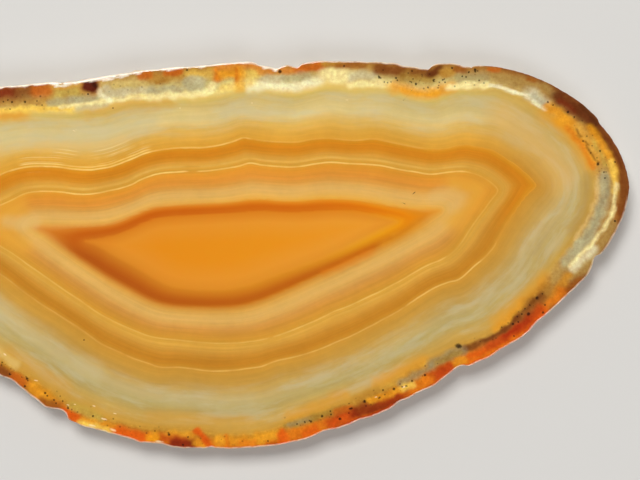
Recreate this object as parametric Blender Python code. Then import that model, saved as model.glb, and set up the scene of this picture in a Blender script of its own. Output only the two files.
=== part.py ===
"""Agate slice: a flat, polished slab of banded agate that keeps its natural rind round the edge.

The slab lies on its sawn back. The origin is under the middle of its box, +Z points up through the
polished face, +X runs along the slice and +Y across it.
"""

import bmesh
import bpy
from mathutils import Vector, noise

# Driving dimensions, in metres.
SLICE_LENGTH = 0.1250
SLICE_THICKNESS = 0.0050

# The outline was picked by eye on the photograph, as (right, down) in its pixels. These two values turn
# those pixels into real sizes and places.
PHOTO_LENGTH = 779.0
PHOTO_CENTRE = (239.6, 254.9)
METRES_PER_PIXEL = SLICE_LENGTH / PHOTO_LENGTH

# The upper edge, from the photograph's left border to the right shoulder. It has three shallow notches.
UPPER_EDGE = [
    (0, 86), (20, 84.3), (40, 82), (52, 80.5), (62, 81), (80, 79), (100, 75.5), (120, 72.5), (140, 69.5),
    (160, 68), (180, 66), (200, 65), (220, 63.3), (240, 61.5), (253, 61.5), (259, 64), (268, 66), (277, 67.8),
    (284, 65), (289, 64.3), (293, 66), (298, 66), (304, 62.5), (320, 60.8), (340, 60.8), (375, 61.6),
    (385, 63), (395, 63.2), (402, 65.5), (413, 66.8), (424, 68.5), (429.5, 68.3), (433, 65), (440, 63.3),
    (452, 63.2), (459, 64.5), (463, 66.3), (471, 66.6), (476, 65.2), (486, 65.5), (497, 66.8), (511, 70),
    (526, 74), (540, 79),
]
# The rounded right end, down to the small bite under its widest point and on to the lower edge.
RIGHT_END = [
    (550, 84), (561, 90), (571, 96.5), (581, 103), (590, 110.5), (597, 118), (600, 124), (606, 131),
    (612, 139.5), (618, 149), (623, 160), (627, 172), (629, 186), (627.5, 202), (624, 215), (619, 226),
    (613, 236), (607, 246), (600.5, 254), (597, 255.3), (594, 258.5), (592.5, 264), (589.5, 271), (585, 278),
    (576, 287),
]
# The lower edge, from right to left. It is the roughest stretch, with ledges where flakes came away.
LOWER_EDGE = [
    (565, 297), (553, 308.5), (545, 315.5), (537, 322), (529, 331), (520, 338), (510, 344), (500, 349.5),
    (494, 354), (486, 358), (477, 362), (469, 365.8), (462, 365.5), (455, 368.5), (449, 373.5), (441, 380),
    (431, 387), (420, 391.5), (411, 396.5), (405, 399.5), (400, 401), (390, 408), (379, 413.5), (368, 417.5),
    (359, 419.3), (350, 423.5), (338, 428), (325, 430.5), (314, 435.5), (300, 440), (282, 444), (262, 446),
    (240, 447.8), (219, 448), (211, 446.6), (205, 448), (188, 448), (175, 446.8), (167, 445), (161, 443),
    (150, 442.3), (140, 442), (131, 438.5), (118, 434.8), (108, 432), (98, 429), (84, 426), (75, 422.5),
    (68.5, 419), (66, 413.5), (61, 409.5), (50, 407.8), (44, 406), (37, 399.5), (29, 393.5), (20, 387),
    (11, 379.5), (0, 374.8),
]
# The left end, which the photograph cuts off. It carries both edges on with the slopes that they have there.
LEFT_END = [
    (-14, 367), (-28, 357), (-40, 346), (-54, 336.5), (-66, 326), (-78, 318), (-92, 305), (-104, 296),
    (-116, 282), (-128, 268), (-138, 253), (-146, 235), (-150, 216), (-148.5, 196), (-142, 178), (-133, 163),
    (-121, 149), (-107, 137), (-92, 126), (-74, 114), (-56, 103.5), (-36, 94.5), (-18, 89),
]
OUTLINE = UPPER_EDGE + RIGHT_END + LOWER_EDGE + LEFT_END
STEPS_PER_POINT = 2

# Heights at which the rind wall is shaped, as shares of the thickness.
WALL_HEIGHTS = [0.04, 0.19, 0.34, 0.50, 0.66, 0.81, 0.96]

# The wall's lean. On the upper side the rind swells out below the polished face, most at the left end.
SWELL_AT_LEFT = 0.0008
SWELL_AT_RIGHT = 0.0001
SWELL_FULL_HEIGHT = 0.45
# On the lower side the wall is undercut towards the back.
UNDERCUT_DEPTH = 0.0009
# The rind curls in a little under its widest level on the upper side too.
BACK_CURL_DEPTH = 0.0003

# The break of the saw-cut edges, and the rind's lumps and pits.
EDGE_BREAK = 0.00012
LUMP_SIZE = 0.0030
LUMP_DEPTH = 0.0011
GRAIN_SIZE = 0.0013
GRAIN_DEPTH = 0.0005
ROUGHNESS_AT_EDGES = 0.15

WELD_DISTANCE = 0.00001
LEVEL_TOLERANCE = 0.000001

AGATE_AMBER = (0.80, 0.42, 0.10, 1.0)
POLISH_ROUGHNESS = 0.12


def clear_objects():
    """Remove what the file opened with."""
    for thing in list(bpy.data.objects):
        bpy.data.objects.remove(thing, do_unlink=True)


def to_metres(point):
    """Turn a (right, down) place on the photograph into X and Y on the slice."""
    right, down = point
    return (
        (right - PHOTO_CENTRE[0]) * METRES_PER_PIXEL,
        (PHOTO_CENTRE[1] - down) * METRES_PER_PIXEL,
    )


def blend(low, high, value):
    """Rise smoothly from 0 to 1 while value goes from low to high."""
    share = min(max((value - low) / (high - low), 0.0), 1.0)
    return share * share * (3.0 - 2.0 * share)


def agate_material():
    """Make the plain amber of the stone."""
    material = bpy.data.materials.new("agate")
    material.use_nodes = True
    shader = material.node_tree.nodes["Principled BSDF"]
    shader.inputs["Base Color"].default_value = AGATE_AMBER
    shader.inputs["Metallic"].default_value = 0.0
    shader.inputs["Roughness"].default_value = POLISH_ROUGHNESS
    return material


def outline_curve():
    """Draw the silhouette as a closed flat curve, extruded to the thickness."""
    curve = bpy.data.curves.new("slice_outline", "CURVE")
    curve.dimensions = "2D"
    curve.fill_mode = "BOTH"
    curve.extrude = SLICE_THICKNESS / 2.0
    curve.resolution_u = STEPS_PER_POINT
    spline = curve.splines.new("BEZIER")
    spline.bezier_points.add(len(OUTLINE) - 1)
    spline.use_cyclic_u = True
    for knot, point in zip(spline.bezier_points, OUTLINE):
        knot.co = (*to_metres(point), 0.0)
        knot.handle_left_type = "AUTO"
        knot.handle_right_type = "AUTO"
    outline = bpy.data.objects.new("slice_outline", curve)
    outline.location.z = SLICE_THICKNESS / 2.0
    bpy.context.scene.collection.objects.link(outline)
    return outline


def mesh_from_curve(outline):
    """Turn the extruded curve into a mesh in world space, and drop the curve."""
    bpy.context.view_layer.update()
    evaluated = outline.evaluated_get(bpy.context.evaluated_depsgraph_get())
    mesh = bpy.data.meshes.new_from_object(evaluated)
    mesh.transform(outline.matrix_world)
    bpy.data.objects.remove(outline, do_unlink=True)
    return mesh


def outward(place):
    """Point away from the slice's middle line, square to an ellipse that fits its length and width."""
    half_length = SLICE_LENGTH / 2.0
    half_width = half_length / 2.0
    return Vector((place.x / half_length**2, place.y / half_width**2, 0.0)).normalized()


def lean_depth(place, share, direction):
    """How far the wall stands back from the silhouette at one height, before it is roughened."""
    upper_side = max(direction.y, 0.0)
    lower_side = max(-direction.y, 0.0)
    along = blend(-SLICE_LENGTH / 2.0, SLICE_LENGTH / 3.0, place.x)
    swell = SWELL_AT_LEFT + (SWELL_AT_RIGHT - SWELL_AT_LEFT) * along
    depth = swell * upper_side * blend(SWELL_FULL_HEIGHT, 1.0, share)
    depth += BACK_CURL_DEPTH * upper_side * (1.0 - blend(0.0, SWELL_FULL_HEIGHT, share))
    depth += UNDERCUT_DEPTH * lower_side * (1.0 - blend(0.0, 1.0, share))
    return depth


def rough_depth(place, share):
    """How deep the rind's lumps and pits go here: most halfway up the wall, little at the sawn edges."""
    lumps = 0.5 + 0.5 * noise.noise(place / LUMP_SIZE)
    grains = 0.5 + 0.5 * noise.noise(place / GRAIN_SIZE)
    middle = 4.0 * share * (1.0 - share)
    weight = ROUGHNESS_AT_EDGES + (1.0 - ROUGHNESS_AT_EDGES) * middle
    return (LUMP_DEPTH * lumps**2 + GRAIN_DEPTH * grains**2) * weight


def wall_place(place):
    """Move one point of the upright wall to where the natural rind lies."""
    share = place.z / SLICE_THICKNESS
    direction = outward(place)
    depth = lean_depth(place, share, direction) + rough_depth(place, share)
    if share < LEVEL_TOLERANCE or share > 1.0 - LEVEL_TOLERANCE:
        depth += EDGE_BREAK
    return place - direction * depth


def shape_slice(mesh):
    """Close the slab, cut its wall into levels and give the wall the rind's shape."""
    shape = bmesh.new()
    shape.from_mesh(mesh)
    bmesh.ops.remove_doubles(shape, verts=shape.verts, dist=WELD_DISTANCE)
    for sign in (-1.0, 1.0):
        sawn_face = [face for face in shape.faces if face.normal.z * sign > 0.5]
        bmesh.ops.dissolve_faces(shape, faces=sawn_face)
    for height in WALL_HEIGHTS:
        bmesh.ops.bisect_plane(
            shape,
            geom=shape.verts[:] + shape.edges[:] + shape.faces[:],
            plane_co=(0.0, 0.0, height * SLICE_THICKNESS),
            plane_no=(0.0, 0.0, 1.0),
        )
    for vertex in shape.verts:
        vertex.co = wall_place(vertex.co)
    bmesh.ops.triangulate(shape, faces=shape.faces[:])
    bmesh.ops.recalc_face_normals(shape, faces=shape.faces[:])
    shape.to_mesh(mesh)
    shape.free()
    return mesh


def build():
    """Make the slice and put it in its collection."""
    clear_objects()
    collection = bpy.data.collections.new("agate_slice")
    bpy.context.scene.collection.children.link(collection)
    mesh = shape_slice(mesh_from_curve(outline_curve()))
    mesh.name = "agate_slice"
    mesh.materials.clear()
    mesh.materials.append(agate_material())
    agate_slice = bpy.data.objects.new("agate_slice", mesh)
    collection.objects.link(agate_slice)


build()
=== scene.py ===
"""The agate slice as it looks: banded amber stone, polished faces, a stained rim and a rough rind."""

import bpy
import numpy as np
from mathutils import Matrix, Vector, kdtree, noise


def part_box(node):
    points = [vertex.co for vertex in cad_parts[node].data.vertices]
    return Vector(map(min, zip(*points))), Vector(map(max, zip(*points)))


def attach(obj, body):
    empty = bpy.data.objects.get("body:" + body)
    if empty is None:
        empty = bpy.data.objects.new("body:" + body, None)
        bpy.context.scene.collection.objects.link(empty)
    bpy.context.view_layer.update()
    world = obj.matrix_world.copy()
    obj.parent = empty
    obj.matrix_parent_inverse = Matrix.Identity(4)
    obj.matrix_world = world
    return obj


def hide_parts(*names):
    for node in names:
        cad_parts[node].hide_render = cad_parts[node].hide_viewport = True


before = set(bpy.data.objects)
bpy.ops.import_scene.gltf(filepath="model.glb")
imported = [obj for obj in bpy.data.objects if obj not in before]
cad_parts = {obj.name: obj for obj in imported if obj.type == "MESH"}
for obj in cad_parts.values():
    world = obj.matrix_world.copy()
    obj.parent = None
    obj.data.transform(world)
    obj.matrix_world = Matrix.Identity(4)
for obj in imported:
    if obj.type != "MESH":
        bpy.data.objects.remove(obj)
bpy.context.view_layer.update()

# Places on the photograph are given as (right, down) in its pixels. The slice's real length over its
# length in the photograph turns them into metres in the row frame.
SLICE_LENGTH = 0.1250
PHOTO_LENGTH = 779.0
PHOTO_CENTRE = (239.6, 254.9)
METRES_PER_PIXEL = SLICE_LENGTH / PHOTO_LENGTH
BACK_Z, FACE_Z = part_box("agate_slice")[0][2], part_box("agate_slice")[1][2]
THICKNESS = FACE_Z - BACK_Z

# The silhouette, clockwise as the photograph shows it. The left end is out of the picture and is a guess.
UPPER_EDGE = [
    (0, 86), (20, 84.3), (40, 82), (52, 80.5), (62, 81), (80, 79), (100, 75.5), (120, 72.5), (140, 69.5),
    (160, 68), (180, 66), (200, 65), (220, 63.3), (240, 61.5), (253, 61.5), (259, 64), (268, 66), (277, 67.8),
    (284, 65), (289, 64.3), (293, 66), (298, 66), (304, 62.5), (320, 60.8), (340, 60.8), (375, 61.6),
    (385, 63), (395, 63.2), (402, 65.5), (413, 66.8), (424, 68.5), (429.5, 68.3), (433, 65), (440, 63.3),
    (452, 63.2), (459, 64.5), (463, 66.3), (471, 66.6), (476, 65.2), (486, 65.5), (497, 66.8), (511, 70),
    (526, 74), (540, 79),
]
RIGHT_END = [
    (550, 84), (561, 90), (571, 96.5), (581, 103), (590, 110.5), (597, 118), (600, 124), (606, 131),
    (612, 139.5), (618, 149), (623, 160), (627, 172), (629, 186), (627.5, 202), (624, 215), (619, 226),
    (613, 236), (607, 246), (600.5, 254), (597, 255.3), (594, 258.5), (592.5, 264), (589.5, 271), (585, 278),
    (576, 287),
]
LOWER_EDGE = [
    (565, 297), (553, 308.5), (545, 315.5), (537, 322), (529, 331), (520, 338), (510, 344), (500, 349.5),
    (494, 354), (486, 358), (477, 362), (469, 365.8), (462, 365.5), (455, 368.5), (449, 373.5), (441, 380),
    (431, 387), (420, 391.5), (411, 396.5), (405, 399.5), (400, 401), (390, 408), (379, 413.5), (368, 417.5),
    (359, 419.3), (350, 423.5), (338, 428), (325, 430.5), (314, 435.5), (300, 440), (282, 444), (262, 446),
    (240, 447.8), (219, 448), (211, 446.6), (205, 448), (188, 448), (175, 446.8), (167, 445), (161, 443),
    (150, 442.3), (140, 442), (131, 438.5), (118, 434.8), (108, 432), (98, 429), (84, 426), (75, 422.5),
    (68.5, 419), (66, 413.5), (61, 409.5), (50, 407.8), (44, 406), (37, 399.5), (29, 393.5), (20, 387),
    (11, 379.5), (0, 374.8),
]
LEFT_END = [
    (-14, 367), (-28, 357), (-40, 346), (-54, 336.5), (-66, 326), (-78, 318), (-92, 305), (-104, 296),
    (-116, 282), (-128, 268), (-138, 253), (-146, 235), (-150, 216), (-148.5, 196), (-142, 178), (-133, 163),
    (-121, 149), (-107, 137), (-92, 126), (-74, 114), (-56, 103.5), (-36, 94.5), (-18, 89),
]
OUTLINE = UPPER_EDGE + RIGHT_END + LOWER_EDGE + LEFT_END

# The growth lines of the agate, from the middle outwards.
HEART_LINE = [
    (84, 241), (100, 237.5), (118, 233), (135, 225.5), (150, 219), (168, 215.5), (200, 213.5), (230, 212),
    (262, 210.5), (300, 211.5), (335, 209.5), (360, 211), (382, 215), (400, 221), (385, 230), (365, 240),
    (345, 250), (320, 261), (295, 270), (270, 279), (250, 286), (225, 290.5), (195, 290.5), (172, 287.5),
    (155, 280), (135, 268), (115, 257), (98, 247),
]
CORE_LINE = [
    (33, 227), (50, 226.5), (70, 226.5), (90, 226), (108, 224.5), (122, 220.5), (135, 215), (148, 209.5),
    (160, 206.8), (180, 205), (205, 203.8), (225, 202.8), (245, 199.8), (260, 198.8), (280, 200.3),
    (300, 200.2), (320, 198.3), (342, 198.5), (362, 200.3), (382, 204), (400, 207), (418, 209), (440, 210),
    (430, 217.5), (415, 227), (398, 237), (380, 246), (358, 256), (335, 267), (310, 278.5), (285, 290),
    (262, 299.5), (240, 305.5), (215, 307), (190, 306.5), (168, 304.5), (150, 299), (130, 288.5), (108, 276),
    (85, 261), (62, 245.5), (46, 234.5),
]
INNER_LINE = [
    (-31, 226), (-24, 217), (-12, 210), (0, 205.5), (8, 202), (15, 198.3), (23, 194.3), (32, 192.3),
    (47, 191.3), (60, 191.6), (72, 193.3), (85, 194.1), (97, 193), (108, 190.8), (120, 188.5), (131, 185),
    (140, 180), (150, 176), (162, 173.2), (180, 171.8), (205, 171.2), (222, 169), (238, 166), (250, 163),
    (262, 165), (277, 166.2), (292, 167), (305, 165.5), (317, 163.3), (330, 162), (347, 163.2), (366, 164),
    (382, 166), (397, 169), (412, 171.5), (430, 174), (446, 172.6), (462, 171.6), (475, 174), (486, 179),
    (494, 185), (498, 191), (493, 198), (486, 207), (477, 219), (468, 232), (461, 243), (452, 253),
    (440, 260.5), (428, 265), (414, 272.5), (400, 281), (384, 289.5), (368, 297), (350, 305.5), (332, 312.5),
    (315, 320.5), (298, 328), (280, 334.5), (262, 339.8), (245, 342.3), (225, 343.3), (205, 342.5),
    (182, 340.5), (162, 338.8), (148, 336), (134, 330.5), (118, 323.5), (100, 314), (82, 302), (62, 288.5),
    (45, 276.5), (28, 264.5), (12, 253), (0, 246), (-14, 238), (-25, 232),
]
OUTER_LINE = [
    (-62, 224), (-56, 212), (-44, 200), (-28, 190), (-13, 182), (0, 175), (8, 171.5), (17, 168.5),
    (28, 166.7), (45, 166), (60, 167), (75, 169.2), (90, 170), (102, 168.3), (113, 165.8), (124, 162),
    (134, 158), (145, 153.5), (156, 150.5), (170, 148.5), (188, 147.9), (205, 147.4), (220, 145),
    (233, 141.5), (243, 137.8), (250, 138.8), (262, 140.5), (280, 141.8), (297, 142), (310, 139.5),
    (322, 138.3), (334, 138.6), (347, 140), (360, 140), (373, 138.7), (387, 141.3), (402, 144.5),
    (417, 147.5), (432, 149.5), (446, 148.8), (456, 146.3), (466, 145), (478, 147), (490, 149.5), (500, 155),
    (511, 162), (522, 170), (531, 178.5), (536, 186), (529, 193), (522, 201), (514, 213), (506, 225),
    (499, 237), (493, 248), (485, 257), (476, 264.5), (468, 272), (459, 279.3), (449, 282), (438, 286),
    (426, 292.5), (412, 302), (398, 311.5), (382, 320), (366, 328.5), (350, 336.5), (334, 343), (318, 349.8),
    (302, 355), (286, 358.8), (274, 361.5), (262, 366), (248, 368.5), (230, 370.5), (212, 371), (195, 369.3),
    (178, 367.3), (160, 367), (148, 363.5), (132, 357.8), (116, 350.8), (101, 343.5), (88, 334.5), (73, 324),
    (56, 313), (38, 302), (20, 289), (8, 279.5), (-4, 271), (-20, 260), (-36, 250), (-50, 240), (-58, 232),
]
RIM_LINE = [
    (-121, 214), (-117, 196), (-110, 182), (-100, 170), (-87, 158), (-70, 146), (-52, 134), (-35, 124),
    (-18, 117), (0, 113.5), (15, 111.5), (35, 110.5), (55, 112), (72, 112), (86, 108.5), (102, 108),
    (115, 104), (128, 101), (145, 99.5), (160, 98.5), (178, 96.5), (195, 96.5), (208, 95.5), (220, 95),
    (232, 91.5), (244, 89), (256, 87), (268, 89), (280, 91), (292, 92), (304, 89.5), (316, 86), (328, 83),
    (340, 84), (352, 87), (368, 87), (384, 87.5), (400, 91), (415, 95.5), (428, 97.5), (440, 93.5),
    (452, 88.5), (466, 88), (480, 89), (495, 88), (508, 92), (522, 98.5), (534, 106.5), (545, 112),
    (556, 119), (567, 130), (577, 142.5), (586, 155), (592, 168), (595, 182), (594, 197), (589, 213),
    (581, 228), (571, 243), (561, 256), (551, 268), (543, 279), (534, 291), (523, 303), (512, 313.5),
    (501, 324), (488, 333.5), (474, 340), (460, 345), (448, 351), (436, 357), (424, 362), (412, 368.5),
    (400, 376.5), (386, 385), (371, 392), (356, 398.5), (340, 404.5), (324, 410), (308, 415.5), (292, 420.5),
    (276, 427), (258, 432), (238, 433.5), (218, 433), (200, 429), (182, 428.5), (165, 428), (150, 426.5),
    (135, 424.5), (118, 420.5), (101, 415), (86, 409), (72, 402.5), (58, 394), (44, 385.5), (30, 376),
    (15, 367), (0, 358), (-16, 348), (-32, 336), (-48, 324), (-64, 311), (-79, 296), (-93, 280),
    (-106, 262), (-115, 244), (-120, 228),
]
GROWTH_LINES = [HEART_LINE, CORE_LINE, INNER_LINE, OUTER_LINE, RIM_LINE, OUTLINE]
FINE_LINES = [GROWTH_LINES.index(INNER_LINE), GROWTH_LINES.index(OUTER_LINE)]
HEART_DEPTH = 30 * METRES_PER_PIXEL

# Colours of the stone, as sRGB. They are as bright as the stone looks with light shining through it from
# behind: its own colour with a painted glow.
COLOURS = {
    # Pale chalky rind, partly a painted highlight on the upper edge.
    "chalk_and_highlight": "FFF4E0",
    "cream": "FAE8A2",
    "pale_cream": "F6EDC0",
    "dull_cream": "EACB7C",
    "straw": "F8CE58",
    "amber": "E79D24",
    "dark_amber": "CD8A26",
    "gold": "F0A41E",
    "honey": "D9A040",
    "tip_honey": "E6AA3E",
    "pale_honey": "E3BF78",
    "haze": "D0C394",
    "shell": "E6B45E",
    "pale_olive": "DCC478",
    "olive": "C6A548",
    "dark_olive": "A98332",
    "grey": "B9AD82",
    "blue_grey": "B4AC8C",
    "pale_grey": "CFC094",
    "dark_grey": "9A8C66",
    "tan": "B08C4A",
    "ochre": "BC8730",
    "dark_ochre": "A9742A",
    "orange": "E07C18",
    "pale_orange": "D88834",
    "vermilion": "E06012",
    "rust": "C66418",
    "dull_rust": "9F5A1C",
    "brick": "BE4512",
    "crimson": "A82D0E",
    "deep_red": "83260F",
    "maroon": "5C1910",
    "brown": "84481A",
    "dark_brown": "6A3313",
    "black_brown": "341608",
    "mist": "CFC8A6",
    # Painted reflection on the polished face.
    "reflection": "FFEBA8",
    "shine": "FFDA7C",
    # Painted glints.
    "glint": "FFE9B8",
    "speck": "26120A",
    # Painted highlight along the face's edge.
    "edge_glint": "FFEBD2",
    "rind_white": "FFF6E6",
    "rind_cream": "F0D6B4",
    "rind_buff": "E6C8A0",
    "rind_brown": "B07846",
}
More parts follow.
